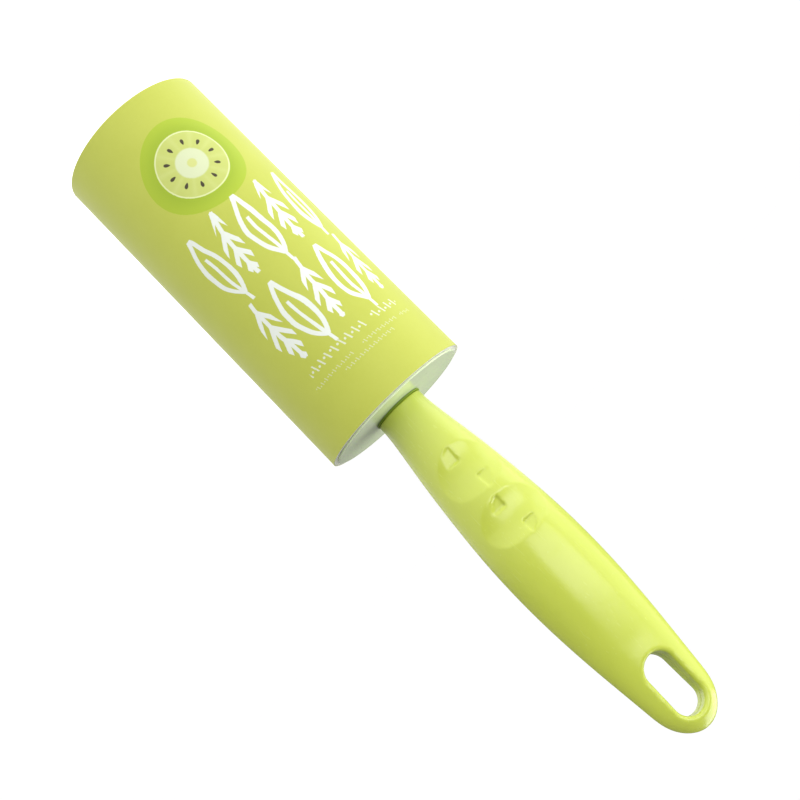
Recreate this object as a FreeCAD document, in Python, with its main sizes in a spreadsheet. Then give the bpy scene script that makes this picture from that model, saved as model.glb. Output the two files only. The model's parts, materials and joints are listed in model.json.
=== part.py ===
import FreeCAD, Part

import math
import os

import Sketcher

# Hand-held lint roller.
#
# A paper roll of sticky sheets is pushed over a moulded spool. The spool turns on
# a steel rod, and the rod is clamped in the neck of a two-shell plastic handle.
#
# Frame: the origin is the centre of the roll's free end face, on which the roller
# stands. +Z runs along the rod towards the handle, and the handle's front, with its
# two thumb dishes, faces -Y. Millimetres and degrees throughout.

os.makedirs("parts", exist_ok=True)
doc = FreeCAD.newDocument("LintRoller")

# ---------------------------------------------------------------- driving dimensions

DIMENSIONS = {
    # refill: cardboard core, wound sheets, outer sheet and printed wrapper
    "roll_length": 100.0,
    "core_bore_radius": 19.0,
    "core_outer_radius": 20.0,
    "wound_radius": 21.2,
    "outer_sheet_radius": 21.4,
    "roll_radius": 21.65,
    "sheet_gap_angle": 4.0,
    # steel rod, its cross pin, and what holds the spool on it
    "rod_radius": 3.0,
    "rod_start": 3.6,
    "rod_end": 137.0,
    "rod_chamfer": 0.5,
    "running_clearance": 0.05,
    "pin_radius": 1.25,
    "pin_length": 13.0,
    "pin_height": 132.0,
    "washer_thickness": 0.6,
    "washer_radius": 6.5,
    "axial_play": 0.1,
    "nut_radius": 6.0,
    "nut_sheet": 0.4,
    "nut_rise": 0.5,
    # spool: far hub, cage with sprung ribs, near flange, end cap
    "spool_radius": 18.7,
    "spool_wall": 1.6,
    "hub_low": 2.0,
    "hub_web_low": 6.0,
    "hub_web_high": 8.0,
    "cage_low": 10.0,
    "cage_high": 93.0,
    "hub_lead_in": 1.4,
    "hub_boss_radius": 8.0,
    "recess_radius": 8.5,
    "recess_wall": 1.5,
    "recess_low": 2.6,
    "barrel_radius": 6.5,
    "barrel_relief": 3.6,
    "collar_radius": 11.0,
    "collar_height": 2.2,
    "rib_root_radius": 10.5,
    "rib_thickness": 1.5,
    "rib_width": 6.0,
    "rib_count": 4.0,
    "flange_radius": 20.2,
    "flange_lip": 0.5,
    "flange_plate": 1.8,
    "flange_edge": 0.2,
    "register_length": 6.0,
    "web_thickness": 1.4,
    "web_count": 6.0,
    "cap_low": 1.8,
    "cap_radius": 9.6,
    "cap_plate": 0.8,
    "cap_skirt": 2.4,
    "cap_edge": 0.4,
    # neck washer and handle shells
    "neck_washer_radius": 7.15,
    "neck_washer_thickness": 0.4,
    "washer_edge": 0.15,
    "side_wall": 1.8,
    "face_wall": 2.8,
    "tail_length": 12.2,
    "slot_middle": 194.25,
    "slot_length": 17.4,
    "slot_width": 8.4,
    "slot_edge": 0.9,
    "boss_radius": 2.8,
    "peg_radius": 1.5,
    "peg_length": 3.0,
    "peg_clearance": 0.1,
    "boss_near_height": 151.7,
    "boss_far_height": 180.3,
    "cradle_rib": 2.2,
    "cradle_height": 123.5,
    # Thumb dishes in the handle's front. Each has its half length (radius), the handle's
    # surface at its middle (front), the curve of its floor across (round) and its tilt.
    "dish_depth": 1.05,
    "dish_near_radius": 7.4,
    "dish_near_height": 124.1,
    "dish_near_front": 8.83,
    "dish_near_round": 13.3,
    "dish_near_tilt": 4.6,
    "dish_far_radius": 6.45,
    "dish_far_height": 139.8,
    "dish_far_front": 9.47,
    "dish_far_round": 16.9,
    "dish_far_tilt": 1.2,
    # the two sloping quarter-round pockets in each dish
    "pocket_offset": 2.8,
    "pocket_depth": 0.5,
    "pocket_slope": 15.0,
}

# Stations of the handle's outline: height, half width along X, half depth along Y.
# The section is an ellipse at each one: round at the neck, broad and deep in the
# palm, then flat at the tail.
STATIONS = {
    "neck": (101.0, 6.9, 6.9),
    "throat": (108.0, 7.45, 7.3),
    "shoulder": (118.0, 8.95, 8.3),
    "swell": (130.0, 10.45, 9.2),
    "palm": (143.0, 11.6, 9.5),
    "belly": (156.0, 12.0, 9.2),
    "heel": (169.0, 11.6, 8.0),
    "waist": (183.0, 10.4, 6.2),
    "tail": (195.0, 9.05, 5.3),
}
CAVITY_STATIONS = ["shoulder", "swell", "palm", "belly", "heel", "waist"]
TAIL_ANGLES = [30, 52, 70, 82]

for station, sizes in STATIONS.items():
    for suffix, value in zip(("height", "half_width", "half_depth"), sizes):
        DIMENSIONS[f"{station}_{suffix}"] = value

sheet = doc.addObject("Spreadsheet::Sheet", "Dims")
for row, (alias, value) in enumerate(DIMENSIONS.items(), start=1):
    sheet.set(f"A{row}", alias.replace("_", " "))
    sheet.set(f"B{row}", str(value))
    sheet.setAlias(f"B{row}", alias)
doc.recompute()


def dim(alias):
    """The sheet's number for a driving dimension."""
    return float(sheet.get(alias))


def bind(item, **expressions):
    """Ties an object's properties to the sheet: each value names cells, as in 'rod_radius + 1'."""
    for prop, expression in expressions.items():
        item.setExpression(prop.replace("__", "."), on_sheet(expression))


def on_sheet(expression):
    """Writes Dims. in front of every driving dimension that an expression names."""
    words = expression.replace("(", " ( ").replace(")", " ) ").split()
    return " ".join(f"Dims.{word}" if word in DIMENSIONS else word for word in words)


def upright(height):
    """A placement on the rod's axis at a height."""
    return FreeCAD.Placement(FreeCAD.Vector(0, 0, height), FreeCAD.Rotation())


# ---------------------------------------------------------------- tools for the pieces


def origin_plane(body, role):
    """One of a body's own origin planes or axes."""
    return next(item for item in body.Origin.OriginFeatures if item.Role == role)


def new_body(label):
    """An empty PartDesign body that is one piece of the roller."""
    body = doc.addObject("PartDesign::Body", label)
    body.Label = label
    return body


def profile_sketch(body, name, corners):
    """A closed outline on the body's XZ plane. Each corner is (radius, height), in the sheet's terms."""
    sketch = body.newObject("Sketcher::SketchObject", name)
    sketch.AttachmentSupport = (origin_plane(body, "XZ_Plane"), [""])
    sketch.MapMode = "FlatFace"
    points = [FreeCAD.Vector(value_of(r), value_of(z), 0) for r, z in corners]
    count = len(points)
    for i in range(count):
        sketch.addGeometry(Part.LineSegment(points[i], points[(i + 1) % count]))
    for i in range(count):
        sketch.addConstraint(Sketcher.Constraint("Coincident", i, 2, (i + 1) % count, 1))
    for i, corner in enumerate(corners):
        for kind, axis, expression in zip(("DistanceX", "DistanceY"), (-2, -1), corner):
            if expression == "0":
                sketch.addConstraint(Sketcher.Constraint("PointOnObject", i, 1, axis))
                continue
            number = sketch.addConstraint(
                Sketcher.Constraint(kind, -1, 1, i, 1, value_of(expression))
            )
            sketch.setExpression(f"Constraints[{number}]", on_sheet(expression))
    return sketch


def value_of(expression):
    """The number that a sheet expression made of + and - stands for."""
    total, sign = 0.0, 1.0
    for word in expression.split():
        if word in "+-":
            sign = 1.0 if word == "+" else -1.0
        else:
            total += sign * (dim(word) if word in DIMENSIONS else float(word))
    return total


def turned(label, corners, angle=360.0):
    """A piece turned about the rod's axis from a closed outline."""
    body = new_body(label)
    sketch = profile_sketch(body, f"{label}_outline", corners)
    spin = body.newObject("PartDesign::Revolution", f"{label}_turned")
    spin.Profile = sketch
    spin.ReferenceAxis = (sketch, ["V_Axis"])
    spin.Angle = angle
    doc.recompute()
    return body


def tube_outline(inner, outer, low, high):
    """Corners of a plain ring's outline."""
    return [(inner, low), (outer, low), (outer, high), (inner, high)]


def round_edges(body, radius, wanted):
    """Rounds the edges of a body's tip for which wanted(edge) is true."""
    base = body.Tip
    names = [f"Edge{i}" for i, edge in enumerate(base.Shape.Edges, start=1) if wanted(edge)]
    fillet = body.newObject("PartDesign::Fillet", f"{body.Label}_rounded")
    fillet.Base = (base, names)
    bind(fillet, Radius=radius)
    doc.recompute()
    return fillet


def ring_edge(radius, height):
    """A test for the circular edge of one radius at one height."""

    def wanted(edge):
        if not isinstance(edge.Curve, Part.Circle):
            return False
        same_radius = abs(edge.Curve.Radius - radius) < 1e-3
        return same_radius and abs(edge.Curve.Center.z - height) < 1e-3

    return wanted


def repeat_round(body, feature, number):
    """Repeats a feature evenly about the rod's axis and makes the pattern the body's tip."""
    pattern = body.newObject("PartDesign::PolarPattern", f"{feature.Name}_ring")
    pattern.Originals = [feature]
    pattern.Axis = (origin_plane(body, "Z_Axis"), [""])
    pattern.Angle = 360.0
    bind(pattern, Occurrences=number)
    body.Tip = pattern
    doc.recompute()
    return pattern


def primitive(kind, name, placement=None, **sizes):
    """A Part primitive whose sizes are tied to the sheet."""
    item = doc.addObject(kind, name)
    bind(item, **sizes)
    if placement is not None:
        item.Placement = placement
    return item


def combine(kind, name, *items):
    """A boolean of two items, or a union of several."""
    item = doc.addObject(kind, name)
    if kind == "Part::MultiFuse":
        item.Shapes = list(items)
    else:
        item.Base, item.Tool = items
    doc.recompute()
    return item


LEAST_CUT = 1.0  # mm3: a cut that takes away less than this has missed


def check_cut(name, before, after):
    """Refuses a cut that took nothing away, because a boolean can lose its tool in silence."""
    if before - after < LEAST_CUT:
        raise ValueError(f"{name} took nothing away")


def carve(name, base, tool):
    """A base less one tool, compared with the base."""
    cut = combine("Part::Cut", name, base, tool)
    check_cut(name, base.Shape.Volume, cut.Shape.Volume)
    return cut


# ---------------------------------------------------------------- refill

# The core is a plain cardboard tube. The sheets are wound on it as one pack, and the
# outer sheet is the turn that is peeled next: its two cut edges leave a narrow gap.
core_tube = turned(
    "core_tube", tube_outline("core_bore_radius", "core_outer_radius", "0", "roll_length")
)
sheet_roll = turned(
    "sheet_roll", tube_outline("core_outer_radius", "wound_radius", "0", "roll_length")
)
outer_sheet = turned(
    "outer_sheet",
    tube_outline("wound_radius", "outer_sheet_radius", "0", "roll_length"),
    angle=360.0 - dim("sheet_gap_angle"),
)
paper_wrapper = turned(
    "paper_wrapper", tube_outline("outer_sheet_radius", "roll_radius", "0", "roll_length")
)

# ---------------------------------------------------------------- rod and its fasteners

axle_rod = turned(
    "axle_rod",
    [
        ("0", "rod_start"),
        ("rod_radius - rod_chamfer", "rod_start"),
        ("rod_radius", "rod_start + rod_chamfer"),
        ("rod_radius", "rod_end - rod_chamfer"),
        ("rod_radius - rod_chamfer", "rod_end"),
        ("0", "rod_end"),
    ],
)

# Cross hole for the pin: a pocket both ways from the plane that the pin's axis is normal to.
hole_sketch = axle_rod.newObject("Sketcher::SketchObject", "pin_hole_outline")
hole_sketch.AttachmentSupport = (origin_plane(axle_rod, "YZ_Plane"), [""])
hole_sketch.MapMode = "FlatFace"
hole_sketch.addGeometry(
    Part.Circle(FreeCAD.Vector(0, dim("pin_height"), 0), FreeCAD.Vector(0, 0, 1), dim("pin_radius"))
)
hole_sketch.addConstraint(Sketcher.Constraint("PointOnObject", 0, 3, -2))
hole_height = hole_sketch.addConstraint(
    Sketcher.Constraint("DistanceY", -1, 1, 0, 3, dim("pin_height"))
)
hole_radius = hole_sketch.addConstraint(Sketcher.Constraint("Radius", 0, dim("pin_radius")))
hole_sketch.setExpression(f"Constraints[{hole_height}]", on_sheet("pin_height"))
hole_sketch.setExpression(f"Constraints[{hole_radius}]", on_sheet("pin_radius"))
rod_volume = axle_rod.Shape.Volume
pin_hole = axle_rod.newObject("PartDesign::Pocket", "pin_hole")
pin_hole.Profile = hole_sketch
pin_hole.Midplane = True
bind(pin_hole, Length="rod_radius * 3")
doc.recompute()
check_cut("pin_hole", rod_volume, axle_rod.Shape.Volume)

ALONG_X = FreeCAD.Rotation(FreeCAD.Vector(0, 1, 0), 90)
rod_pin = primitive(
    "Part::Cylinder",
    "rod_cross_pin",
    FreeCAD.Placement(FreeCAD.Vector(-dim("pin_length") / 2, 0, dim("pin_height")), ALONG_X),
    Radius="pin_radius",
    Height="pin_length",
)

neck_washer = turned(
    "neck_washer",
    tube_outline(
        "rod_radius + axial_play",
        "neck_washer_radius",
        "neck_height - neck_washer_thickness",
        "neck_height",
    ),
)
round_edges(
    neck_washer,
    "washer_edge",
    ring_edge(dim("neck_washer_radius"), dim("neck_height") - dim("neck_washer_thickness")),
)

end_washer = turned(
    "end_washer",
    tube_outline(
        "rod_radius + axial_play",
        "washer_radius",
        "hub_web_low - axial_play - washer_thickness",
        "hub_web_low - axial_play",
    ),
)

# The push nut is a dished spring-steel disc: its bore grips the rod and its rim bears
# on the washer.
nut_top = "hub_web_low - axial_play - washer_thickness"
push_nut = turned(
    "push_nut",
    [
        ("rod_radius", f"{nut_top} - nut_sheet - nut_rise"),
        ("rod_radius + nut_rise", f"{nut_top} - nut_sheet - nut_rise"),
        ("nut_radius - nut_rise", f"{nut_top} - nut_sheet"),
        ("nut_radius", f"{nut_top} - nut_sheet"),
        ("nut_radius", nut_top),
        ("nut_radius - nut_rise", nut_top),
        ("rod_radius + nut_rise", f"{nut_top} - nut_rise"),
        ("rod_radius", f"{nut_top} - nut_rise"),
    ],
)

# ---------------------------------------------------------------- spool

far_hub = turned(
    "far_hub",
    [
        ("rod_radius + running_clearance", "hub_web_low"),
        ("recess_radius", "hub_web_low"),
        ("recess_radius", "recess_low"),
        ("recess_radius + recess_wall", "recess_low"),
        ("recess_radius + recess_wall", "hub_web_low"),
        ("spool_radius - spool_wall", "hub_web_low"),
        ("spool_radius - spool_wall", "hub_low"),
        ("spool_radius - hub_lead_in", "hub_low"),
        ("spool_radius", "hub_low + hub_lead_in"),
        ("spool_radius", "cage_low"),
        ("spool_radius - spool_wall", "cage_low"),
        ("spool_radius - spool_wall", "hub_web_high"),
        ("hub_boss_radius", "hub_web_high"),
        ("hub_boss_radius", "cage_low"),
        ("rod_radius + running_clearance", "cage_low"),
    ],
)

end_cap = turned(
    "end_cap",
    [
        ("0", "cap_low"),
        ("cap_radius - cap_edge", "cap_low"),
        ("cap_radius", "cap_low + cap_edge"),
        ("cap_radius", "recess_low"),
        ("recess_radius - running_clearance", "recess_low"),
        ("recess_radius - running_clearance", "recess_low + cap_skirt"),
        ("recess_radius - running_clearance - cap_plate", "recess_low + cap_skirt"),
        ("recess_radius - running_clearance - cap_plate", "cap_low + cap_plate + cap_edge"),
        ("0", "cap_low + cap_plate + cap_edge"),
    ],
)

# The cage is one moulding: a barrel with a collar at each end and four bowed ribs that
# spring against the inside of the core.
core_cage = turned(
    "core_cage",
    [
        ("barrel_relief", "cage_low"),
        ("collar_radius", "cage_low"),
        ("collar_radius", "cage_low + collar_height"),
        ("barrel_radius", "cage_low + collar_height"),
        ("barrel_radius", "cage_high - collar_height"),
        ("collar_radius", "cage_high - collar_height"),
        ("collar_radius", "cage_high"),
        ("barrel_relief", "cage_high"),
    ],
)


def bowed_rib(body):
    """One leaf that bows from collar to collar, between two arcs on the XZ plane."""
    low = dim("cage_low") + dim("collar_height") / 2
    high = dim("cage_high") - dim("collar_height") / 2
    middle = (low + high) / 2
    root, crest, leaf = dim("rib_root_radius"), dim("spool_radius"), dim("rib_thickness")
    outer = [(root, low), (crest, middle), (root, high)]
    inner = [(root - leaf, low), (crest - leaf, middle), (root - leaf, high)]
    sketch = body.newObject("Sketcher::SketchObject", "rib_outline")
    sketch.AttachmentSupport = (origin_plane(body, "XZ_Plane"), [""])
    sketch.MapMode = "FlatFace"
    outer_arc, inner_arc = (
        Part.Arc(*[FreeCAD.Vector(x, y, 0) for x, y in points]) for points in (outer, inner)
    )
    sketch.addGeometry(outer_arc)
    sketch.addGeometry(inner_arc)
    for start, end in ((outer[0], inner[0]), (outer[2], inner[2])):
        sketch.addGeometry(
            Part.LineSegment(FreeCAD.Vector(*start, 0), FreeCAD.Vector(*end, 0))
        )
    rib = body.newObject("PartDesign::Pad", "sprung_rib")
    rib.Profile = sketch
    rib.Midplane = True
    bind(rib, Length="rib_width")
    doc.recompute()
    return rib


repeat_round(core_cage, bowed_rib(core_cage), "rib_count")

near_flange = turned(
    "near_flange",
    [
        ("rod_radius + running_clearance", "cage_high"),
        ("hub_boss_radius", "cage_high"),
        ("hub_boss_radius", "roll_length + flange_lip - flange_plate"),
        ("spool_radius - spool_wall", "roll_length + flange_lip - flange_plate"),
        ("spool_radius - spool_wall", "roll_length - register_length"),
        ("spool_radius", "roll_length - register_length"),
        ("spool_radius", "roll_length"),
        ("flange_radius", "roll_length"),
        ("flange_radius", "roll_length + flange_lip"),
        ("rod_radius + running_clearance", "roll_length + flange_lip"),
    ],
)


def stiffening_web(body):
    """One radial web behind the flange, from the hub to the register ring."""
    sketch = profile_sketch(
        body,
        "web_outline",
        [
            ("hub_boss_radius - running_clearance", "roll_length - register_length"),
            ("spool_radius - spool_wall + running_clearance", "roll_length - register_length"),
            ("spool_radius - spool_wall + running_clearance", "roll_length"),
            ("hub_boss_radius - running_clearance", "roll_length"),
        ],
    )
    web = body.newObject("PartDesign::Pad", "flange_web")
    web.Profile = sketch
    web.Midplane = True
    bind(web, Length="web_thickness")
    doc.recompute()
    return web


repeat_round(near_flange, stiffening_web(near_flange), "web_count")
round_edges(
    near_flange,
    "flange_edge",
    ring_edge(dim("flange_radius"), dim("roll_length") + dim("flange_lip")),
)

# ---------------------------------------------------------------- handle

# Outer form: a smooth loft through the station ellipses and a rounded tail.


def section(name, height, half_width, half_depth):
    """One ellipse of a loft, wide along X, at a height given in the sheet's terms."""
    ellipse = doc.addObject("Part::Ellipse", name)
    bind(ellipse, MajorRadius=half_width, MinorRadius=half_depth, Placement__Base__z=height)
    return ellipse


def loft(name, sections):
    """A smooth solid through sections in order."""
    item = doc.addObject("Part::Loft", name)
    item.Sections = sections
    item.Solid = True
    item.Ruled = False
    doc.recompute()
    return item


outer_sections = [
    section(f"outer_{name}", f"{name}_height", f"{name}_half_width", f"{name}_half_depth")
    for name in STATIONS
]
for angle in TAIL_ANGLES:
    along, across = math.sin(math.radians(angle)), math.cos(math.radians(angle))
    outer_sections.append(
        section(
            f"outer_tail_{angle}",
            f"tail_height + tail_length * {along:.6f}",
            f"tail_half_width * {across:.6f}",
            f"tail_half_depth * {across:.6f}",
        )
    )
tail_tip = doc.addObject("Part::Vertex", "tail_tip")
tail_tip.setExpression("Z", on_sheet("tail_height + tail_length"))
handle_form = loft("handle_form", outer_sections + [tail_tip])

# Cavity: the same stations, one wall thickness smaller, less the cradle ribs that hold
# the rod and the two locating bosses. The front wall is thicker than the sides, because
# the thumb dishes are sunk into it, and the back wall matches it.
cavity_form = loft(
    "cavity_form",
    [
        section(
            f"inner_{name}",
            f"{name}_height",
            f"{name}_half_width - side_wall",
            f"{name}_half_depth - face_wall",
        )
        for name in CAVITY_STATIONS
    ],
)

ALONG_Y = FreeCAD.Rotation(FreeCAD.Vector(1, 0, 0), -90)
HALF_SPAN = 20.0  # reach of a cutter that must pass right through the handle


def crosswise(name, radius, height, start, length):
    """A round post parallel to Y at a height, from start towards +Y."""
    place = FreeCAD.Placement(FreeCAD.Vector(0, start, height), ALONG_Y)
    post = primitive("Part::Cylinder", name, place, Radius=radius)
    post.Height = length
    return post


def cradle_rib(name, low):
    """A full-width rib across the cavity."""
    rib = primitive(
        "Part::Box",
        name,
        FreeCAD.Placement(FreeCAD.Vector(-HALF_SPAN, -HALF_SPAN, low), FreeCAD.Rotation()),
        Height="cradle_rib",
    )
    rib.Length = rib.Width = 2 * HALF_SPAN
    return rib


BOSS_HEIGHTS = {"near": dim("boss_near_height"), "far": dim("boss_far_height")}
pin_half = dim("pin_radius") + dim("peg_clearance")
inner_structure = combine(
    "Part::MultiFuse",
    "inner_structure",
    *[
        crosswise(f"boss_{name}", "boss_radius", height, -HALF_SPAN, 2 * HALF_SPAN)
        for name, height in BOSS_HEIGHTS.items()
    ],
    cradle_rib("rib_front_cradle", dim("cradle_height")),
    cradle_rib("rib_below_pin", dim("pin_height") - pin_half - dim("cradle_rib")),
    cradle_rib("rib_above_pin", dim("pin_height") + pin_half),
)
cavity = carve("cavity", cavity_form, inner_structure)

rod_channel = primitive(
    "Part::Cylinder",
    "rod_channel",
    upright(dim("neck_height") - 1.0),
    Radius="rod_radius",
    Height="rod_end + 1 - neck_height",
)


def hang_slot():
    """The oblong hang hole: a flat-sided slot with round ends, right through along Y."""
    half = (dim("slot_length") - dim("slot_width")) / 2
    middle = dim("slot_middle")
    ends = [
        crosswise(f"slot_end_{i}", "slot_width / 2", middle + side * half, -HALF_SPAN, 2 * HALF_SPAN)
        for i, side in enumerate((-1, 1))
    ]
    corner = FreeCAD.Vector(-dim("slot_width") / 2, -HALF_SPAN, middle - half)
    sides = primitive(
        "Part::Box",
        "slot_sides",
        FreeCAD.Placement(corner, FreeCAD.Rotation()),
        Length="slot_width",
        Height="slot_length - slot_width",
    )
    sides.Width = 2 * HALF_SPAN
    return combine("Part::MultiFuse", "hang_slot", *ends, sides)


def dish_frame(name):
    """Where a dish's floor has its centre, and the outward and lengthwise directions there."""
    tilt = math.radians(dim(f"{name}_tilt"))
    outward = FreeCAD.Vector(0, -math.cos(tilt), -math.sin(tilt))
    along = FreeCAD.Vector(0, -math.sin(tilt), math.cos(tilt))
    surface = FreeCAD.Vector(0, -dim(f"{name}_front"), dim(f"{name}_height"))
    return surface - outward * dim("dish_depth"), outward, along


def thumb_dish(name):
    """A dish that is hollow along the handle and follows its roundness across: the inner
    side of a large ring, tilted with the surface. A round rim is left on the handle."""
    floor, outward, along = dish_frame(name)
    centre = floor - outward * dim(f"{name}_round")
    return primitive(
        "Part::Torus",
        name,
        FreeCAD.Placement(centre, FreeCAD.Rotation(FreeCAD.Vector(0, 0, 1), along)),
        Radius1=f"{name}_round + {name}_radius * {name}_radius / dish_depth / 2",
        Radius2=f"{name}_radius * {name}_radius / dish_depth / 2",
    )


def corner_pockets(name):
    """Two quarter-round pockets in a dish, point-symmetric about its centre. Each floor is
    deepest at the pocket's straight wall and slopes up towards the dish's rim."""
    floor, outward, along = dish_frame(name)
    slope = math.radians(dim("pocket_slope"))
    pockets = []
    for side in (-1, 1):
        across = FreeCAD.Vector(-side, 0, 0)
        corner = floor - outward * dim("pocket_depth") + along * (side * dim("pocket_offset"))
        uphill = along * (side * math.cos(slope)) + outward * math.sin(slope)
        square = outward * math.cos(slope) - along * (side * math.sin(slope))
        pocket = primitive(
            "Part::Cylinder",
            f"{name}_pocket_{'head' if side < 0 else 'tail'}",
            FreeCAD.Placement(corner, FreeCAD.Rotation(uphill, across, square, "ZXY")),
            Radius=f"{name}_radius - pocket_offset",
            Height="dish_depth * 4",
        )
        pocket.Angle = 90.0
        pockets.append(pocket)
    return pockets


slot = hang_slot()
slotted = carve("slotted_form", handle_form, slot)


EDGE_SLACK = 0.1  # how far an edge may lie outside the slot's outline and still be its rim


def slot_rim(edge):
    """Whether an edge is part of the slot's rim: inside the slot's outline, and all of it on
    the front or all of it on the back, unlike the edges that run through the handle."""
    box = edge.BoundBox
    middle = dim("slot_middle")
    sideways = max(-box.XMin, box.XMax) - dim("slot_width") / 2
    lengthways = max(middle - box.ZMin, box.ZMax - middle) - dim("slot_length") / 2
    through = box.YMin < 0 < box.YMax
    return sideways < EDGE_SLACK and lengthways < EDGE_SLACK and not through


rounded = doc.addObject("Part::Fillet", "rounded_form")
rounded.Base = slotted
rounded.Edges = [
    (i, dim("slot_edge"), dim("slot_edge"))
    for i, edge in enumerate(slotted.Shape.Edges, start=1)
    if slot_rim(edge)
]
doc.recompute()

# One tool at a time: fused into one tool, the large rings of the dishes get lost.
cutters = [cavity, rod_channel]
for dish in ("dish_near", "dish_far"):
    cutters.append(thumb_dish(dish))
    cutters += corner_pockets(dish)
doc.recompute()
handle_whole = rounded
for cutter in cutters:
    handle_whole = carve(f"handle_less_{cutter.Name}", handle_whole, cutter)


def half_space(name, side):
    """A box that holds the front (side -1) or the back (side 1) of the handle."""
    low = FreeCAD.Vector(-HALF_SPAN, min(0.0, side * HALF_SPAN), dim("neck_height") - 1.0)
    box = doc.addObject("Part::Box", name)
    box.Length, box.Width = 2 * HALF_SPAN, HALF_SPAN
    bind(box, Height="tail_height + tail_length - neck_height + 2")
    box.Placement = FreeCAD.Placement(low, FreeCAD.Rotation())
    return box


front_half = combine("Part::Common", "front_half", handle_whole, half_space("front_space", -1))
back_half = combine("Part::Common", "back_half", handle_whole, half_space("back_space", 1))

# Pegs moulded on the back shell enter sockets in the front shell's bosses.
PEG_ROOT = 1.0  # how deep a peg is rooted in its boss
sockets = [
    crosswise(
        f"socket_{name}",
        "peg_radius + peg_clearance",
        height,
        -dim("peg_length") - 2 * dim("peg_clearance"),
        dim("peg_length") + 2 * dim("peg_clearance"),
    )
    for name, height in BOSS_HEIGHTS.items()
]
pegs = [
    crosswise(f"peg_{name}", "peg_radius", height, -dim("peg_length"), dim("peg_length") + PEG_ROOT)
    for name, height in BOSS_HEIGHTS.items()
]
front_shell = carve(
    "handle_front_shell", front_half, combine("Part::MultiFuse", "sockets", *sockets)
)
back_shell = combine("Part::MultiFuse", "handle_back_shell", back_half, *pegs)

# ---------------------------------------------------------------- checks and files

PIECES = [
    front_shell,
    back_shell,
    axle_rod,
    rod_pin,
    neck_washer,
    end_washer,
    push_nut,
    far_hub,
    end_cap,
    core_cage,
    near_flange,
    core_tube,
    sheet_roll,
    outer_sheet,
    paper_wrapper,
]

for item in doc.Objects:
    if {"Invalid", "Error"} & set(item.State):
        raise ValueError(f"{item.Name} failed: {item.State}")
for piece in PIECES:
    shape = piece.Shape
    if shape.isNull() or not shape.isValid() or len(shape.Solids) != 1:
        raise ValueError(f"{piece.Label} is not one sound solid")

for piece in PIECES:
    piece.Shape.exportStep(f"parts/{piece.Label}.step")
    box = piece.Shape.optimalBoundingBox(True, False)
    print(
        f"{piece.Label}: {piece.Shape.Volume / 1000:.3f} cm3, "
        f"x {box.XMin:.2f}..{box.XMax:.2f}, y {box.YMin:.2f}..{box.YMax:.2f}, "
        f"z {box.ZMin:.2f}..{box.ZMax:.2f}"
    )
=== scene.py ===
# %% [markdown]
# # A lint roller, finished in Blender
# The frame comes in first and is never moved. Every node of it is a real piece of the
# roller in metres, standing on the roll's free end, with +Z along the rod.

# %% Load the frame
import json
import math

import bmesh
import bpy
from mathutils import Matrix, Vector, noise


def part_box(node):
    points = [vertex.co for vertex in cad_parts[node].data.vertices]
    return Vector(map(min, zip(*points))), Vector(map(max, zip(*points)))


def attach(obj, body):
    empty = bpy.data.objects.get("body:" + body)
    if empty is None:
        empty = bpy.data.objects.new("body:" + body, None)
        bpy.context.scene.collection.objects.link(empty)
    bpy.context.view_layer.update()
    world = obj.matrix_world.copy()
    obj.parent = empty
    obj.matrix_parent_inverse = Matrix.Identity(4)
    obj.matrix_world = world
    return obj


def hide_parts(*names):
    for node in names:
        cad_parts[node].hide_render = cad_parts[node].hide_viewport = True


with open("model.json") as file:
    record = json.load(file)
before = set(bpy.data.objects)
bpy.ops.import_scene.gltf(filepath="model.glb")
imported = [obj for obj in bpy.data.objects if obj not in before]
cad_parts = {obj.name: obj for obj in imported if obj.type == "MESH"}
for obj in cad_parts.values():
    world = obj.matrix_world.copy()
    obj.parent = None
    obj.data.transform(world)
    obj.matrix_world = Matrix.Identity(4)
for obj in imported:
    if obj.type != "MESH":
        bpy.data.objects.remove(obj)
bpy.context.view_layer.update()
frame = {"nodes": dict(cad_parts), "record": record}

MM = 0.001
nodes = frame["nodes"]
print("pieces in the frame:", ", ".join(sorted(nodes)))

# %% [markdown]
# ## Measures from the frame
# A piece that is made here has to fit the ones that are already there. So its sizes are
# read from the frame's boxes and not typed in again. A radius is half of a box's width,
# because every turned piece is centred on the rod. All of them are kept in millimetres.

# %% Measures
def outer_radius(node):
    """Outer radius of a turned node, in mm."""
    low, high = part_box(node)
    return (high.x - low.x) / 2 / MM


ROLL_LOW, ROLL_HIGH = (corner.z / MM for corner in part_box("paper_wrapper"))
WRAPPER_RADIUS = outer_radius("paper_wrapper")
SHEET_RADIUS = outer_radius("outer_sheet")
WOUND_RADIUS = outer_radius("sheet_roll")
CORE_RADIUS = outer_radius("core_tube")
print(f"roll {ROLL_HIGH - ROLL_LOW:.1f} mm long, radius {WRAPPER_RADIUS:.2f} mm")

# %% [markdown]
# ## Camera
# A camera is easiest to place from what it looks at: a point on the object, a direction,
# a distance and a twist about the line of sight. The twist is what lays an upright object
# diagonally across the view. The small shift slides the view without turning the lens.

# %% Camera
def direction(azimuth, elevation):
    """A unit vector: azimuth 0 is the front, and turns towards +X."""
    a, e = math.radians(azimuth), math.radians(elevation)
    return Vector((math.sin(a) * math.cos(e), -math.cos(a) * math.cos(e), math.sin(e)))


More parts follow.
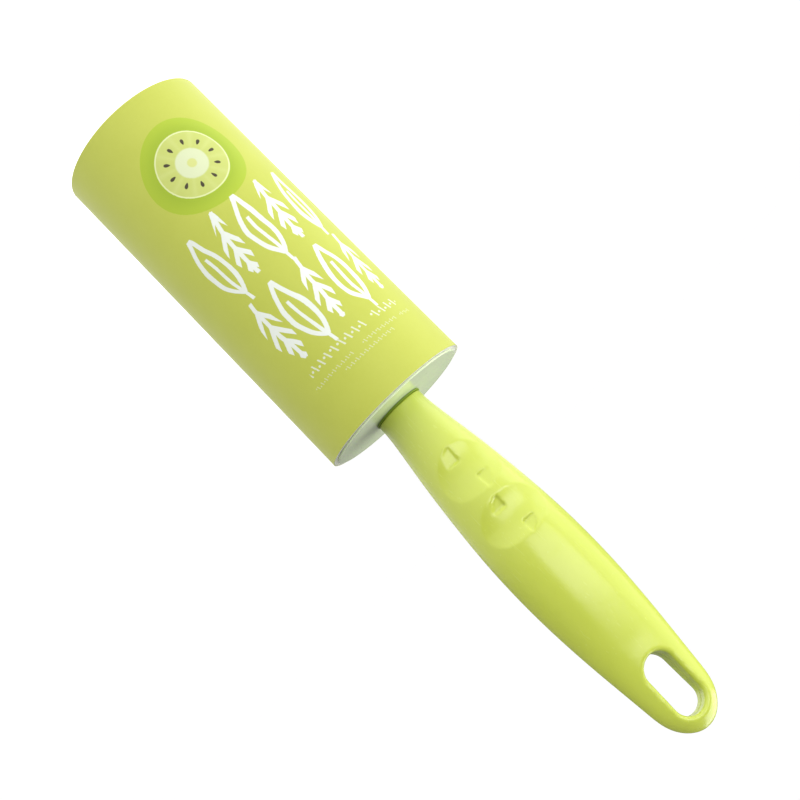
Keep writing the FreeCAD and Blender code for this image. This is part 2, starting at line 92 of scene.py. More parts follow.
def aimed_camera(name, aim, azimuth, elevation, distance, twist, lens, shift):
    """A camera that looks at aim from a direction, turned about its own line of sight."""
    back = direction(azimuth, elevation)
    camera = bpy.data.objects.new(name, bpy.data.cameras.new(name))
    bpy.context.scene.collection.objects.link(camera)
    turn = (-back).to_track_quat("-Z", "Y").to_matrix()
    turn = turn @ Matrix.Rotation(math.radians(twist), 3, "Z")
    camera.matrix_world = Matrix.Translation(aim + back * distance) @ turn.to_4x4()
    camera.data.lens = lens
    camera.data.sensor_width = 36
    camera.data.shift_x, camera.data.shift_y = shift
    camera.data.clip_start = 0.01
    return camera


AZIMUTH = 15
ELEVATION = 10.6
AIM_HEIGHT = 85 * MM
AIM_LEFT = 1.66
AIM = Vector((0, 0, AIM_HEIGHT)) - direction(AZIMUTH + 90, 0) * AIM_LEFT * MM
bpy.context.scene.camera = aimed_camera(
    "camera",
    AIM,
    AZIMUTH,
    ELEVATION,
    distance=332.4 * MM,
    twist=135.43,
    lens=58.7,
    shift=(0.05, -0.05),
)
print("camera at", [round(x, 3) for x in bpy.context.scene.camera.location])

# %% [markdown]
# ## Shader maths in plain Python
# A node tree is hard to read as a list of links. So one small class stands for a socket
# and knows +, -, * and /, and each of them adds a Math node. A second class is a material:
# its one method `node` makes any other node from a type, its settings and its inputs.

# %% A socket that takes part in sums
def operator(operation, swapped=False):
    """A method that joins two values with a Math node."""

    def method(self, other):
        pair = (other, self) if swapped else (self, other)
        return self.finish.math(operation, *pair)

    return method


class Value:
    """One output socket of a node in a finish."""

    def __init__(self, finish, socket):
        self.finish = finish
        self.socket = socket

    __add__ = __radd__ = operator("ADD")
    __mul__ = __rmul__ = operator("MULTIPLY")
    __sub__ = operator("SUBTRACT")
    __rsub__ = operator("SUBTRACT", swapped=True)
    __truediv__ = operator("DIVIDE")
    __mod__ = operator("FLOORED_MODULO")

    def __abs__(self):
        return self.finish.math("ABSOLUTE", self)


# %% A material that grows from expressions
class Finish:
    """A material: fixed numbers go straight on its shader, and the rest through nodes."""

    def __init__(self, name, **fixed):
        self.material = bpy.data.materials.new(name)
        self.material.use_nodes = True
        self.tree = self.material.node_tree
        self.tree.nodes.clear()
        self.shader = self.tree.nodes.new("ShaderNodeBsdfPrincipled")
        output = self.tree.nodes.new("ShaderNodeOutputMaterial")
        self.tree.links.new(self.shader.outputs[0], output.inputs[0])
        self.drive(**fixed)
        here = self.node("TexCoord", output=3)
        self.here = self.node("VectorMath", {"operation": "SCALE"}, {0: here, "Scale": 1 / MM})

    def feed(self, node, socket, value):
        """Gives a socket a number, a colour or a link."""
        target = node.inputs[socket]
        if isinstance(value, Value):
            self.tree.links.new(value.socket, target)
        elif isinstance(value, tuple) and len(target.default_value) == 4:
            target.default_value = (*value, 1)
        else:
            target.default_value = value

    def drive(self, **sockets):
        """Sets or links the shader's sockets, named in lower case with underscores."""
        for socket, value in sockets.items():
            label = socket.replace("_", " ").title().replace("Ior", "IOR")
            self.feed(self.shader, label, value)

    def node(self, kind, settings=None, inputs=None, output=0):
        """Any node: its settings are set first, then its inputs. Returns one output."""
        made = self.tree.nodes.new("ShaderNode" + kind)
        for name, value in (settings or {}).items():
            setattr(made, name, value)
        for socket, value in (inputs or {}).items():
            self.feed(made, socket, value)
        return Value(self, made.outputs[output])

    def math(self, operation, *values):
        """A Math node on values and numbers."""
        return self.node("Math", {"operation": operation}, dict(enumerate(values)))

    def colour(self, mask, low, high):
        """The colour low where the mask is 0 and high where it is 1."""
        return self.node("Mix", {"data_type": "RGBA"}, {0: mask, 6: low, 7: high}, output=2)

    def step(self, value, start, end):
        """Rises smoothly from 0 at start to 1 at end, or falls when end is lower."""
        settings = {"interpolation_type": "SMOOTHSTEP"}
        return self.node("MapRange", settings, {0: value, 1: start, 2: end})

    def line(self, distance, width, soft=0.07):
        """1 on a line of this width, where the distance from its middle is known."""
        return self.step(abs(distance), width / 2 + soft, width / 2 - soft)

    def any_of(self, *masks):
        """The strongest of several masks."""
        strongest, *others = masks
        for mask in others:
            strongest = self.math("MAXIMUM", strongest, mask)
        return strongest

    def length(self, a, b):
        """The length of a step of a one way and b square to it."""
        return self.math("SQRT", a * a + b * b)

    def place(self):
        """The object's own coordinates in mm: across, back, up."""
        split = self.node("SeparateXYZ", inputs={0: self.here}).socket.node
        return [Value(self, split.outputs[i]) for i in range(3)]

    def stretched(self, stretch):
        """The coordinates in mm, scaled on each axis."""
        return self.node("VectorMath", {"operation": "MULTIPLY"}, {0: self.here, 1: stretch})

    def cloud(self, per_mm, detail=2.0, stretch=(1, 1, 1)):
        """Noise around 0.5, with this many features to a millimetre."""
        inputs = {"Vector": self.stretched(stretch), "Scale": per_mm, "Detail": detail}
        return self.node("TexNoise", inputs=inputs)

    def cells(self, per_mm, stretch=(1, 1, 1)):
        """Distance from the nearest of many scattered points."""
        inputs = {"Vector": self.stretched(stretch), "Scale": per_mm}
        return self.node("TexVoronoi", inputs=inputs)

    def relief(self, height):
        """A surface normal from a height in mm."""
        return self.node("Bump", inputs={"Height": height, "Distance": MM})


def paint(finish, *names):
    """Gives a finish to pieces that came with the frame."""
    for name in names:
        nodes[name].data.materials.clear()
        nodes[name].data.materials.append(finish.material)
    print(finish.material.name, "on", ", ".join(names))


# %% [markdown]
# ## Lime handle plastic
# The handle is polished, slightly milky moulded plastic. Light goes a little way in, which
# evens out the shade between the lit and the dark side, so some subsurface scattering goes
# under a smooth clear surface. Plastic that flowed along the mould leaves long, very faint
# streaks, the mould's polish leaves a slight ripple, and hands leave fine hairline marks.

# %% Handle plastic
def handle_finish():
    finish = Finish(
        "handle_plastic",
        ior=1.6,
        subsurface_weight=0.15,
        subsurface_radius=(0.9, 1.0, 0.22),
        subsurface_scale=1.2 * MM,
    )
    flow = finish.cloud(0.16, 3.0, (1, 1, 0.3))
    ripple = finish.cloud(0.9, 1.0)
    hairline = finish.step(finish.cloud(2.6, 2.0, (1, 1, 0.05)), 0.60, 0.72)
    speck = finish.step(finish.cells(0.32), 0.07, 0.03)
    tint = finish.colour(flow, (0.50, 0.58, 0.062), (0.56, 0.64, 0.085))
    finish.drive(
        base_color=finish.colour(speck * 0.25, tint, (0.70, 0.80, 0.25)),
        roughness=flow * 0.10 + hairline * 0.04 + 0.19,
        normal=finish.relief(flow * 0.05 + ripple * 0.004 - hairline * 0.0002),
    )
    return finish


handle_plastic = handle_finish()
print("handle plastic ready")

# %% [markdown]
# ## Handle halves with softened edges
# A mould has no truly sharp edges: the rims of the thumb dishes, the small pockets and the
# hole all roll over softly, and the two halves meet in a fine V-shaped groove. Bevelling
# every curved edge by hand would be slow and would break where they meet. Instead each half
# is copied, covered with an even skin of small squares and relaxed a few times, which rounds
# every edge by about the width of a square and leaves the broad faces as they were.

# %% A copy with an even, relaxed skin
SKIN_SQUARE = 0.3
RELAX_ROUNDS = 6


def placed(name, mesh, body, slot, *replaced):
    """A new object from a mesh, tied to its body and the nodes it stands for; its slot is not
    used.
    """
    piece = bpy.data.objects.new(name, mesh)
    bpy.context.scene.collection.objects.link(piece)
    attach(piece, body)
    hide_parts(*replaced)
    return piece


def relaxed_copy(node, name):
    """A mesh like the node's, in even squares, with its edges rounded."""
    model = bpy.data.objects.new(name, nodes[node].data.copy())
    bpy.context.scene.collection.objects.link(model)
    skin = model.modifiers.new("even_skin", "REMESH")
    skin.mode = "VOXEL"
    skin.voxel_size = SKIN_SQUARE * MM
    relax = model.modifiers.new("relaxed", "SMOOTH")
    relax.factor = 0.5
    relax.iterations = RELAX_ROUNDS
    depsgraph = bpy.context.evaluated_depsgraph_get()
    mesh = bpy.data.meshes.new_from_object(model.evaluated_get(depsgraph))
    bpy.data.objects.remove(model)
    mesh.name = name
    mesh.materials.clear()
    mesh.materials.append(handle_plastic.material)
    mesh.shade_smooth()
    print(name, "has", len(mesh.polygons), "faces")
    return mesh


# %% [markdown]
# Thick plastic shrinks as it cools. Behind the front face stand two locating bosses, and
# over each of them the face sinks by less than a tenth of a millimetre. That is too shallow
# to see as a hollow, but the gloss finds it: the long highlight changes over each one.

# %% Sink marks over the bosses
BOSS_HEIGHTS = (151.7, 180.3)
SINK_DEPTH = 0.07
SINK_RADIUS = 2.6
SINK_REACH = 2.5
FACING_FRONT = -0.8
FRONT_FACE = -3


def sink(mesh):
    """Presses a shallow dimple into the front face over each boss."""
    moved = 0
    for vertex in mesh.vertices:
        if vertex.normal.y > FACING_FRONT or vertex.co.y > FRONT_FACE * MM:
            continue
        for height in BOSS_HEIGHTS:
            away = math.hypot(vertex.co.x / MM, vertex.co.z / MM - height) / SINK_RADIUS
            if away < SINK_REACH:
                vertex.co.y += SINK_DEPTH * MM * math.exp(-away * away)
                moved += 1
    print("sink marks moved", moved, "points")


front = relaxed_copy("handle_front_shell", "handle_front")
sink(front)
placed("handle_front", front, "handle", "handle_plastic", "handle_front_shell")
back = relaxed_copy("handle_back_shell", "handle_back")
placed("handle_back", back, "handle", "handle_plastic", "handle_back_shell")

# %% [markdown]
# ## Spool plastic
# The spool is moulded in glossy mint-white plastic. The mould's end faces were turned on a
# lathe, so they carry fine rings about the rod, and each ejector pin leaves a small round
# witness mark. Both follow from the distance to the rod and the angle round it.

# %% Spool and cap plastic
PIN_CIRCLE = 14.5
PIN_RADIUS = 1.6
DIAGONAL = 0.7071


def moulded_finish(name, ring_pitch, low, high):
    """Glossy moulded plastic with turning rings and ejector-pin marks."""
    finish = Finish(
        name,
        ior=1.49,
        subsurface_weight=0.2,
        subsurface_radius=(0.8, 1.0, 0.7),
        subsurface_scale=2.0 * MM,
    )
    x, y = finish.place()[:2]
    away = finish.length(x, y)
    rings = finish.math("SINE", away * (2 * math.pi / ring_pitch)) * 0.5 + 0.5
    pin = finish.length(abs(x) - PIN_CIRCLE * DIAGONAL, abs(y) - PIN_CIRCLE * DIAGONAL)
    witness = finish.line(pin - PIN_RADIUS, 0.18)
    milk = finish.cloud(0.22, 3.0)
    scuff = finish.step(finish.cloud(1.8, 2.0, (1, 1, 0.15)), 0.58, 0.75)
    tint = finish.colour(milk, low, high)
    finish.drive(
        base_color=finish.colour(witness * 0.5, tint, tuple(c * 0.8 for c in low)),
        roughness=milk * 0.08 + rings * 0.05 + scuff * 0.12 + 0.06,
        normal=finish.relief(rings * 0.004 + milk * 0.02 - witness * 0.03),
    )
    return finish


spool_plastic = moulded_finish("spool_plastic", 0.8, (0.72, 0.86, 0.52), (0.78, 0.90, 0.60))
cap_plastic = moulded_finish("cap_plastic", 0.5, (0.72, 0.85, 0.55), (0.78, 0.90, 0.63))
paint(spool_plastic, "near_flange", "core_cage", "far_hub")
paint(cap_plastic, "end_cap")

# %% [markdown]
# ## Dark green washer
# The washer between the neck and the spool is nylon, cut from a bar. It is duller than the
# handle, darker, and has the marks of the cutting tool as fine rings.

# %% Washer
def washer_finish():
    finish = Finish("washer_nylon", ior=1.53, specular_ior_level=0.35)
    x, y, z = finish.place()
    rings = finish.math("SINE", finish.length(x, y) * 21 + z * 9) * 0.5 + 0.5
    grain = finish.cloud(3.0, 3.0)
    finish.drive(
        base_color=finish.colour(grain, (0.19, 0.29, 0.012), (0.24, 0.35, 0.020)),
        roughness=rings * 0.12 + grain * 0.15 + 0.32,
        normal=finish.relief(rings * 0.008 + grain * 0.006),
    )
    return finish


paint(washer_finish(), "neck_washer")

# %% [markdown]
# ## Steel
# The rod is drawn through a die, which leaves long straight scratches along it. The washer
# and the push nut are stamped and zinc-plated, which gives them a cloudy, spangled face.
# A metal shows such marks in its roughness more than in its colour.

# %% Drawn rod
def rod_finish():
    finish = Finish("rod_steel", metallic=1.0)
    drawn = finish.cloud(5.0, 3.0, (1, 1, 0.02))
    stain = finish.cloud(0.12, 4.0)
    bright = finish.colour(drawn, (0.50, 0.50, 0.52), (0.70, 0.70, 0.72))
    stained = finish.step(stain, 0.55, 0.8) * 0.4
    finish.drive(
        base_color=finish.colour(stained, bright, (0.36, 0.33, 0.29)),
        roughness=drawn * 0.25 + stain * 0.12 + 0.14,
        normal=finish.relief(drawn * 0.006),
    )
    return finish


paint(rod_finish(), "axle_rod", "rod_cross_pin")

# %% Zinc-plated fasteners
def zinc_finish():
    finish = Finish("fastener_steel", metallic=1.0)
    spangle = finish.cells(0.9)
    cloud = finish.cloud(0.5, 4.0)
    tone = finish.colour(spangle, (0.42, 0.43, 0.46), (0.62, 0.63, 0.65))
    tarnish = finish.step(cloud, 0.5, 0.8) * 0.35
    finish.drive(
        base_color=finish.colour(tarnish, tone, (0.56, 0.52, 0.40)),
        roughness=spangle * 0.16 + cloud * 0.18 + 0.20,
        normal=finish.relief(spangle * 0.012 + cloud * 0.01),
    )
    return finish


paint(zinc_finish(), "end_washer", "push_nut")

# %% [markdown]
# ## Turned paper goods
# The core, the wound sheets and the wrapper are all tubes, but none is a perfect one: plies
# end at slightly different heights and a wrapper has a lap where it is glued. So all three
# come from one helper. It sweeps a closed profile about the rod and lets a rule move every
# point by its angle and height, which a plain cylinder or a Screw modifier can't do.

# %% Sweeping a profile with a rule
TUBE_SHARP = math.radians(35)


def swept(name, profile, turns, rule):
    """A closed tube: profile is (radius, height) in mm, and rule(angle, r, z) moves it."""
    form = bmesh.new()
    columns = []
    for turn in turns:
        column = []
        for radius, height in profile:
            r, z = rule(turn, radius, height)
            place = (r * math.sin(turn) * MM, r * math.cos(turn) * MM, z * MM)
            column.append(form.verts.new(place))
        columns.append(column)
    count = len(profile)
    for left, right in zip(columns, columns[1:] + columns[:1]):
        for i in range(count):
            j = (i + 1) % count
            form.faces.new((left[i], left[j], right[j], right[i]))
    bmesh.ops.recalc_face_normals(form, faces=form.faces)
    mesh = bpy.data.meshes.new(name)
    form.to_mesh(mesh)
    form.free()
    mesh.shade_smooth()
    mesh.set_sharp_from_angle(angle=TUBE_SHARP)
    print(name, "has", len(mesh.polygons), "faces")
    return mesh


def even_turns(count):
    """Angles all round, starting at the back."""
    return [2 * math.pi * i / count for i in range(count)]


def ramp(start, end, count):
    """Evenly spaced numbers from start to end, both included."""
    return [start + (end - start) * i / (count - 1) for i in range(count)]


SEED_STEP = 7.31


def wobble(seed, first, second=None):
    """Smooth noise from -1 to 1 at one number, or at a pair."""
    shelf = seed * SEED_STEP
    if second is None:
        return noise.noise(Vector((first, shelf, 0.5)))
    return noise.noise(Vector((first, second, shelf + 0.5)))


# %% [markdown]
# A closed profile of layers runs up the inside, over the layers' upper edges, down the
# outside and back under. Each layer ends a little lower or higher than its neighbour,
# which is what makes the end of a real roll look wound and not turned from solid.

# %% A profile of layers
LAYER_EDGE = 0.004


def layered_profile(inner, outer, layers, uneven, rows, seed):
    """A tube's section with stepped ends, one step to a layer, inside the roll's length."""
    edges = ramp(inner, outer, layers + 1)
    dips = [uneven * (0.5 + 0.5 * wobble(seed, 3.7 * k)) for k in range(layers)]
    lower_dips = dips[:1] + dips[:0:-1]
    upper, lower = [], []
    for near, far, dip, lower_dip in zip(edges, edges[1:], dips, lower_dips):
        for radius in (near + LAYER_EDGE, far - LAYER_EDGE):
            upper.append((radius, ROLL_HIGH - dip))
            lower.append((radius, ROLL_LOW + lower_dip))
    heights = ramp(ROLL_LOW + uneven * 2, ROLL_HIGH - uneven * 2, rows)
    inside = [(inner, z) for z in heights]
    outside = [(outer, z) for z in reversed(heights)]
    return inside + upper + outside + lower[::-1]


# %% [markdown]
# ## Cardboard core
# The core is three strips of grey-brown board wound in a spiral and glued. Where a strip's
# edges meet there is a shallow groove, which runs up the tube's walls like a thread. That
# groove is in the mesh. The board's fibres and flecks, and the dark edge of another strip
# half a turn away, are in the finish.

# %% Cardboard finish
PLY_PITCH = 38.0
CORE_WALL = 1.0


def cardboard_finish():
    finish = Finish("cardboard", specular_ior_level=0.2)
    x, y, z = finish.place()
    fibre = finish.cloud(2.2, 4.0, (1, 1, 0.25))
    fleck = finish.step(finish.cloud(1.1, 2.0), 0.62, 0.70)
    turn = finish.math("ARCTAN2", x, y) / (2 * math.pi)
    seam = finish.line((z / PLY_PITCH - turn) % 1 - 0.5, 0.02, 0.01)
    board = finish.colour(fibre, (0.40, 0.31, 0.20), (0.60, 0.49, 0.34))
    flecked = finish.colour(fleck * 0.45, board, (0.26, 0.19, 0.12))
    finish.drive(
        base_color=finish.colour(seam * 0.5, flecked, (0.24, 0.18, 0.11)),
        roughness=fibre * 0.12 + 0.78,
        normal=finish.relief(fibre * 0.05 - fleck * 0.01),
    )
    return finish


# %% Core mesh
GROOVE_DEPTH = 0.06
GROOVE_HALF = 0.5


def core_rule(turn, r, z):
    """A spiral groove, shallow and about a millimetre wide, on both walls."""
    phase = (z / PLY_PITCH - turn / (2 * math.pi) + 0.5) % 1 - 0.5
    groove = GROOVE_DEPTH * math.exp(-((phase * PLY_PITCH / GROOVE_HALF) ** 2))
    middle = CORE_RADIUS - CORE_WALL / 2
    return r + groove * (1 if r < middle else -1), z


core_bore = CORE_RADIUS - CORE_WALL
profile = layered_profile(core_bore, CORE_RADIUS, layers=3, uneven=0.12, rows=90, seed=1)
core = swept("cardboard_core", profile, even_turns(240), core_rule)
core.materials.append(cardboard_finish().material)
placed("cardboard_core", core, "refill", "cardboard", "core_tube")

# %% [markdown]
# ## Wound sticky sheets
# The refill is a long strip of white paper with adhesive on its outer side. Its ends show
# the turns as fine rings, eight of them here. The adhesive is pressed on in a pattern, so
# the gloss comes and goes over the surface, and dotted cuts mark where a sheet tears off.

# %% Sticky paper finish
LAYER_PITCH = 0.15
DASH_PITCH = 2.4
CUT_PITCH = 34


def sticky_finish():
    finish = Finish(
        "sticky_paper",
        ior=1.47,
        subsurface_weight=0.1,
        subsurface_radius=(1.0, 0.95, 0.8),
        subsurface_scale=0.5 * MM,
    )
    x, y, z = finish.place()
    away = finish.length(x, y)
    around = finish.math("ARCTAN2", x, y) * SHEET_RADIUS
    tack = finish.cloud(0.35, 3.0)
    tooth = finish.cloud(3.0, 2.0)
    layer = finish.line(away / LAYER_PITCH % 1 - 0.5, 0.3, 0.2)
    dash = finish.line(z % DASH_PITCH - DASH_PITCH / 2, 1.5)
    cut = finish.line(around % CUT_PITCH - CUT_PITCH / 2, 0.3) * dash
    paper = finish.colour(tooth, (0.78, 0.79, 0.70), (0.86, 0.87, 0.79))
    layered = finish.colour(layer * 0.18, paper, (0.62, 0.63, 0.52))
    finish.drive(
        base_color=finish.colour(cut * 0.5, layered, (0.40, 0.40, 0.33)),
        roughness=finish.step(tack, 0.35, 0.65) * 0.3 + 0.22,
        normal=finish.relief(tack * 0.05 + tooth * 0.008 - cut * 0.05 - layer * 0.01),
    )
    return finish


sticky_paper = sticky_finish()
paint(sticky_paper, "outer_sheet")

# %% Wound sheets mesh
WANDER = 0.05
WOUND_LAYERS = 8


def wound_rule(turn, r, z):
    """Each turn of paper wanders a little up and down on its way round."""
    wander = WANDER * wobble(3, 0.8 * math.sin(turn) + r * 4, 0.8 * math.cos(turn))
    middle = (ROLL_LOW + ROLL_HIGH) / 2
    inward = -1 if z > middle else 1
    return r, z + inward * abs(wander)


profile = layered_profile(
    CORE_RADIUS, WOUND_RADIUS, WOUND_LAYERS, uneven=0.14, rows=3, seed=2
)
sheets = swept("wound_sheets", profile, even_turns(360), wound_rule)
sheets.materials.append(sticky_paper.material)
placed("wound_sheets", sheets, "refill", "sticky_paper", "sheet_roll")

# %% [markdown]
# ## The printed wrapper
# Round a new refill goes a sleeve of lime-green paper, glued in a lap at the back. It is
# drawn with a fruit slice and two rows of brushed leaves. The drawing is worked out from
# two numbers: how far round the roll a point lies, and how high. Everything else is a
# distance from a line or a centre, so it stays crisp however near the view comes.

# %% Leaves drawn with a brush
BRUSH = 1.25
LEAF_PITCH = 7.5


def leaf_row(finish, around, z, middle, half, seed):
    """Five tall leaves in a row: outlined ones and feathered sprigs by turns."""
    index = finish.math("ROUND", around / LEAF_PITCH)
    chance = finish.node("TexWhiteNoise", {"noise_dimensions": "1D"}, {"W": index + seed})
    lift = (z - middle - (chance - 0.5) * 1.2) / half
    across = around - index * LEAF_PITCH + lift * (chance - 0.5) * 2.2 + lift * lift * 0.5
    width = (1 - lift * lift) * (1 + lift * 0.3) * (chance * 0.7 + 2.2)
    outline = finish.line(abs(across) - width, BRUSH)
    tall = finish.step(abs(lift), 1.02, 0.99)
    rib = finish.line(across, BRUSH * 0.7) * finish.step(abs(lift - 0.45), 0.82, 0.79)
    slant = (z - abs(across) * 1.7) % 5.0 - 2.5
    barbs = finish.line(slant, BRUSH * 1.9) * finish.step(abs(across) - width, 0.45, 0.3)
    stem = finish.line(across, BRUSH * 0.9)
    leaf = finish.any_of(outline * tall, rib)
    sprig = finish.any_of(stem * finish.step(abs(lift), 1.0, 0.97), barbs * tall)
    odd = finish.math("COMPARE", (index + seed) % 2, 1.0, 0.1)
    within = finish.step(abs(index), 2.6, 2.4)
    return finish.node("Mix", inputs={0: odd, 2: leaf, 3: sprig}) * within


# %% Small rows of marks
def mark_row(finish, around, z, middle, height, pitch, reach, brush):
    """A band of short slanted strokes, each with a dot beside it."""
    index = finish.math("ROUND", around / pitch)
    local = around - index * pitch
    lift = z - middle
    draw = index * 1.7 + middle
    chance = finish.node("TexWhiteNoise", {"noise_dimensions": "1D"}, {"W": draw})
    stroke = finish.line(local + pitch * 0.22 + lift * 0.35, brush)
    stroke = stroke * finish.step(abs(lift), height / 2, height / 2 - 0.12)
    dot = finish.length(local - pitch * 0.25, lift - (chance - 0.5) * height * 0.5)
    dot = finish.step(dot, brush * 0.9, brush * 0.6)
    shown = finish.step(abs(around), reach, reach - 0.2) * finish.step(chance, 0.08, 0.1)
    return finish.any_of(stroke, dot) * shown


# %% A fruit slice
SLICE_HEIGHT = 23.7
SLICE_LEFT = 0.75
SEEDS = 10
SEED_CIRCLE = 6.3


def fruit_slice(finish, around, z, ground):
    """Lays a round slice over the ground colour. Its radii and widths are in mm."""
    across, up = around + SLICE_LEFT, z - SLICE_HEIGHT
    away = finish.length(across, up)
    angle = finish.math("ARCTAN2", up, across)
    edge = away - finish.math("SINE", angle * 3 + 0.6) * 0.25
    spoke = angle * (SEEDS / (2 * math.pi))
    ray = finish.line(spoke % 1 - 0.5, 0.22, 0.16) * finish.step(away, 3.6, 5.0)
    tangent = ((spoke + 0.5) % 1 - 0.5) * away * (2 * math.pi / SEEDS)
    radial = away - SEED_CIRCLE
    seed = finish.length(tangent / (radial * 0.18 + 0.42), radial / 0.85)
    rind = finish.colour(finish.step(edge, 9, 13.5), (0.31, 0.43, 0.005), (0.37, 0.49, 0.012))
    shown = finish.colour(finish.step(edge, 13.55, 13.35), ground, rind)
    flesh = finish.colour(ray * 0.5, (0.50, 0.56, 0.13), (0.56, 0.62, 0.20))
    shown = finish.colour(finish.step(away, 9.3, 9.1), shown, flesh)
    shown = finish.colour(finish.line(away - 9.25, 0.4), shown, (0.66, 0.72, 0.34))
    shown = finish.colour(finish.step(away, 4.5, 3.9), shown, (0.62, 0.68, 0.42))
    shown = finish.colour(finish.step(away, 1.5, 1.0), shown, (0.58, 0.62, 0.20))
    return finish.colour(finish.step(seed, 1.15, 0.85), shown, (0.035, 0.025, 0.002))


# %% [markdown]
# The paper itself is matt, with a fine tooth that takes the ink unevenly. Its inner side
# and its cut edges are not printed, so the finish also asks how far from the rod it is.

# %% Wrapper finish
PAPER_WALL = 0.25
PRINT_DEPTH = 0.14
LEAVES_LEFT = 1.2


def wrapper_finish():
    finish = Finish("wrapper_paper", ior=1.5, specular_ior_level=0.5)
    x, y, z = finish.place()
    shake = (finish.cloud(0.11, 1.0) - 0.5) * 1.8
    fray = (finish.cloud(1.6, 2.0) - 0.5) * 0.16
    around = finish.math("ARCTAN2", x, 0 - y) * WRAPPER_RADIUS
    drawn_round, drawn_up = around + shake + fray, z + shake * 0.8 - fray

    fibre = finish.cloud(1.4, 4.0, (1, 1, 0.6))
    mottle = finish.cloud(0.12, 3.0)
    blend = mottle * 0.6 + fibre * 0.4
    ground = finish.colour(blend, (0.447, 0.492, 0.048), (0.50, 0.545, 0.074))
    printed = fruit_slice(finish, around + fray, z + fray, ground)

    centred = drawn_round + LEAVES_LEFT
    leaves = finish.any_of(
        leaf_row(finish, centred, drawn_up, middle=46.9, half=9.9, seed=0),
        leaf_row(finish, centred, drawn_up, middle=69.1, half=9.7, seed=1),
    )
    bold = {"height": 2.3, "pitch": 2.3, "brush": 0.42}
    fine = {"height": 1.1, "pitch": 1.5, "brush": 0.24}
    strokes = mark_row(finish, around + fray, z, middle=82.7, reach=15.6, **bold)
    small = finish.any_of(
        mark_row(finish, around, z, middle=86.4, reach=17.5, **fine),
        mark_row(finish, around, z, middle=88.4, reach=8.5, **fine),
    )
    ink = finish.any_of(leaves, strokes * 0.7, small * 0.4)
    ink = ink * (0.93 + fibre * 0.1)
    printed = finish.colour(ink, printed, (0.76, 0.80, 0.74))
    print_from = WRAPPER_RADIUS - PRINT_DEPTH
    outside = finish.step(finish.length(x, y), WRAPPER_RADIUS - 0.17, print_from)
    tooth = finish.cloud(4.0, 3.0)
    finish.drive(
        base_color=finish.colour(outside, (0.74, 0.76, 0.60), printed),
        roughness=fibre * 0.12 + 0.42 - ink * 0.06,
        normal=finish.relief(tooth * 0.012 + fibre * 0.012 + ink * 0.006),
    )
    return finish


# %% [markdown]
# The sleeve's mesh has real thickness. At the back its outer end lies over the inner one:
# the radius drops there in one step and climbs back over the next sixteen degrees. Its ends
# were cut by machine and run true to within a tenth of a millimetre.

# %% Wrapper mesh
LAP_STEP = 0.10
LAP_RAMP = math.radians(16)
LAP_EDGE = 0.006
SWELL = 0.03
END_WANDER = 0.07
END_BAND = 1
WRAPPER_TURNS = 420
WRAPPER_ROWS = 56


def wrapper_rule(turn, r, z):
    """The lap, a very slight swell and nearly straight ends."""
    outer = r > WRAPPER_RADIUS - PAPER_WALL / 2
    if outer:
        lap = max(0.0, 1 - turn / LAP_RAMP)
        swell = 0.5 + 0.5 * wobble(5, 1.6 * math.sin(turn) + z * 0.03, 1.6 * math.cos(turn))
        r -= LAP_STEP * lap * lap + SWELL * swell
    cut = END_WANDER * (0.5 + 0.5 * wobble(6, 2.2 * math.sin(turn) + 9, 2.2 * math.cos(turn)))
    if z > ROLL_HIGH - END_BAND:
        z -= cut
    elif z < ROLL_LOW + END_BAND:
        z += cut
    return r, z


heights = ramp(ROLL_LOW, ROLL_HIGH, WRAPPER_ROWS)
inner_radius = WRAPPER_RADIUS - PAPER_WALL
profile = [(inner_radius, z) for z in heights] + [(WRAPPER_RADIUS, z) for z in heights[::-1]]
around_once = 2 * math.pi - 2 * LAP_EDGE
last = WRAPPER_TURNS - 1
turns = [LAP_EDGE + around_once * i / last for i in range(WRAPPER_TURNS)]
wrapper = swept("printed_wrapper", profile, turns, wrapper_rule)
wrapper.materials.append(wrapper_finish().material)
placed("printed_wrapper", wrapper, "refill", "wrapper_paper", "paper_wrapper")

# %% [markdown]
# ## Floor and light
# A bright, even setting: a white surround, a very pale floor that glows, and three soft lamps on
# one side. The side lamp shades the round forms from one edge to the other. The front one is
# wide and low: its reflection ends sharply along the handle's ridge, which is what makes
# plastic look polished. The top one lights the spool's disc and lays the neck's shadow on it.
# The floor sends light up, into every wall that faces down. It lies a refill's length lower
# than the roller, so that the refill can slide off. The surround lights the roller much
# less than it shows behind it, so that the faces turned away from the lamps stay deep.

# %% Floor
FLOOR_GAP = 20 * MM
FLOOR_RADIUS = 6.0


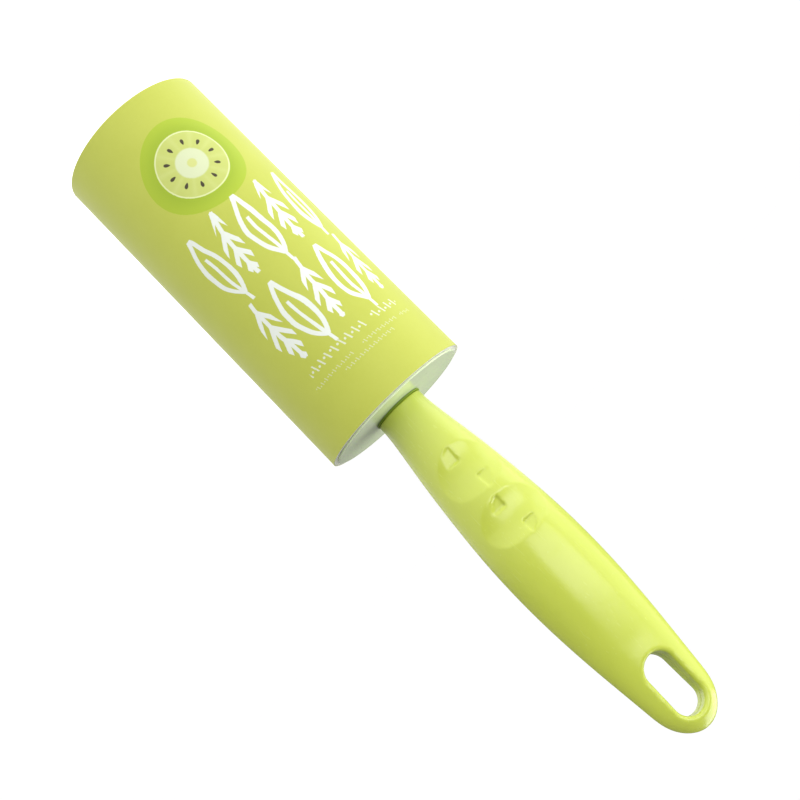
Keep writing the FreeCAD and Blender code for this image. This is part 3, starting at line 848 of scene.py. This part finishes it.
def floor():
    """A wide disc below the lowest place that the refill slides to."""
    joints = frame["record"]["behaviour"]["joints"]
    travel = max(joint["range_m"][1] for joint in joints if joint["type"] == "slide")
    mesh = bpy.data.meshes.new("floor")
    form = bmesh.new()
    bmesh.ops.create_circle(form, cap_ends=True, radius=FLOOR_RADIUS, segments=96)
    form.to_mesh(mesh)
    form.free()
    plane = bpy.data.objects.new("floor", mesh)
    bpy.context.scene.collection.objects.link(plane)
    plane.location.z = -travel - FLOOR_GAP
    finish = Finish(
        "floor_white",
        base_color=(0.94, 0.94, 0.94),
        roughness=0.9,
        emission_color=(1.0, 1.0, 1.0),
        emission_strength=0.74,
    )
    mesh.materials.append(finish.material)
    print("floor at", round(plane.location.z, 3))


floor()

# %% Lamps
LAMP_AIM = Vector((0, 0, 0.11))
LAMP_DISTANCE = 0.9


def soft_lamp(name, azimuth, elevation, size, power):
    """A rectangular lamp that faces the middle of the roller."""
    lamp = bpy.data.lights.new(name, "AREA")
    lamp.shape = "RECTANGLE"
    lamp.size, lamp.size_y = size
    lamp.energy = power
    item = bpy.data.objects.new(name, lamp)
    bpy.context.scene.collection.objects.link(item)
    away = direction(azimuth, elevation)
    item.location = LAMP_AIM + away * LAMP_DISTANCE
    item.rotation_mode = "QUATERNION"
    item.rotation_quaternion = away.to_track_quat("Z", "Y")
    print(name, "lamp at", [round(c, 2) for c in item.location])


soft_lamp("front", azimuth=-20, elevation=12, size=(1.04, 0.32), power=3.5)
soft_lamp("side", azimuth=-80, elevation=8, size=(0.8, 0.8), power=2.7)
soft_lamp("top", azimuth=-98, elevation=60, size=(0.8, 0.8), power=7.0)

# %% Surround
LIT, SHOWN = 0.28, 1.02
world = bpy.data.worlds.new("surround")
bpy.context.scene.world = world
world.use_nodes = True
background = world.node_tree.nodes["Background"]
background.inputs["Color"].default_value = (1, 1, 1, 1)
path = world.node_tree.nodes.new("ShaderNodeLightPath")
strength = world.node_tree.nodes.new("ShaderNodeMath")
strength.operation = "MULTIPLY_ADD"
strength.inputs[1].default_value = SHOWN - LIT
strength.inputs[2].default_value = LIT
world.node_tree.links.new(path.outputs["Is Camera Ray"], strength.inputs[0])
world.node_tree.links.new(strength.outputs[0], background.inputs["Strength"])
bpy.context.scene.view_settings.view_transform = "Standard"
print("surround", LIT, "on the roller and", SHOWN, "behind it")

# %% Smooth shading for the frame's own pieces
NODE_SHARP = math.radians(30)
for piece in nodes.values():
    piece.data.shade_smooth()
    piece.data.set_sharp_from_angle(angle=NODE_SHARP)
